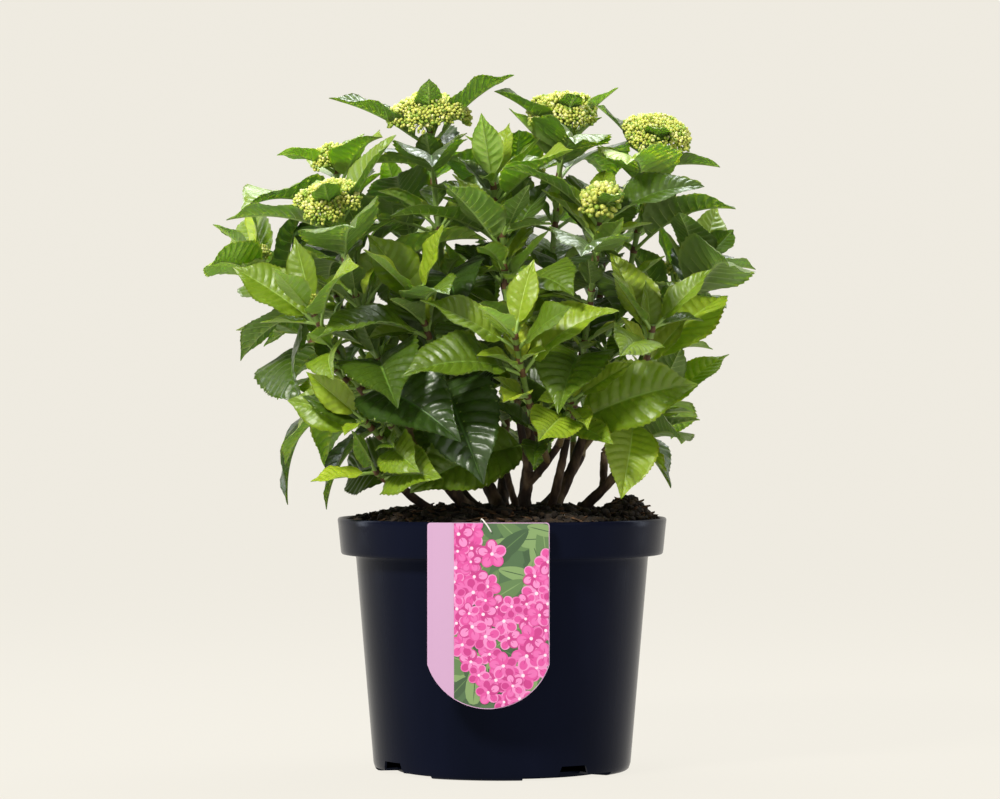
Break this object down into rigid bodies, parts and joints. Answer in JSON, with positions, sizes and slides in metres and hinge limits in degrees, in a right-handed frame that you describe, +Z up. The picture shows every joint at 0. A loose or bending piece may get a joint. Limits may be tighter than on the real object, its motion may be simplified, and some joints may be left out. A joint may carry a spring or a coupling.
{
  "type": "potted hydrangea shrub",
  "caption": "Young mophead hydrangea in bud in a round dark nursery pot, with a plant label tied to the rim.",
  "frame": {"origin": "centre of the pot's flat underside", "axes": "+Z up along the pot's axis, -Y towards the side that the label hangs on, +X to the right as seen from the label's side"},
  "size_m": [0.376, 0.3421, 0.4753],
  "materials": {
    "pot": "satin injection-moulded plastic, blue-black",
    "soil": "moist crumbly potting soil",
    "label": "printed plastic card with a pink floral picture",
    "tie": "thin white plastic loop",
    "wood": "rough brown-grey bark",
    "foliage": "glossy serrated leaves, green stems and yellow-green flower buds"
  },
  "bodies": {
    "root": {"bough_front_left": "wood", "bough_front_right": "wood", "bough_right": "wood", "label": "label", "label_tie": "tie", "pot": "pot", "shoot_back_corner": "foliage", "shoot_back_left": "foliage", "shoot_back_low": "foliage", "shoot_back_middle": "foliage", "shoot_back_right": "foliage", "shoot_far_left": "foliage", "shoot_far_right": "foliage", "shoot_front": "foliage", "shoot_front_right": "foliage", "shoot_left": "foliage", "shoot_left_behind": "foliage", "shoot_left_bud": "foliage", "shoot_left_low": "foliage", "shoot_left_upper": "foliage", "shoot_lowest_left": "foliage", "shoot_middle": "foliage", "shoot_middle_left": "foliage", "shoot_right_behind": "foliage", "shoot_right_front": "foliage", "shoot_right_low": "foliage", "shoot_rosette": "foliage", "shoot_tall_right": "foliage", "shoot_top_left": "foliage", "shoot_top_middle": "foliage", "shoot_top_right": "foliage", "soil": "soil", "stem_back": "wood", "stem_back_right": "wood", "stem_front": "wood", "stem_left": "wood", "stem_left_back": "wood", "stem_left_low": "wood", "stem_middle": "wood", "stem_olive": "wood", "stem_right": "wood", "stem_right_back": "wood", "stem_upright": "wood", "stub_cut": "wood"}
  },
  "joints": []
}
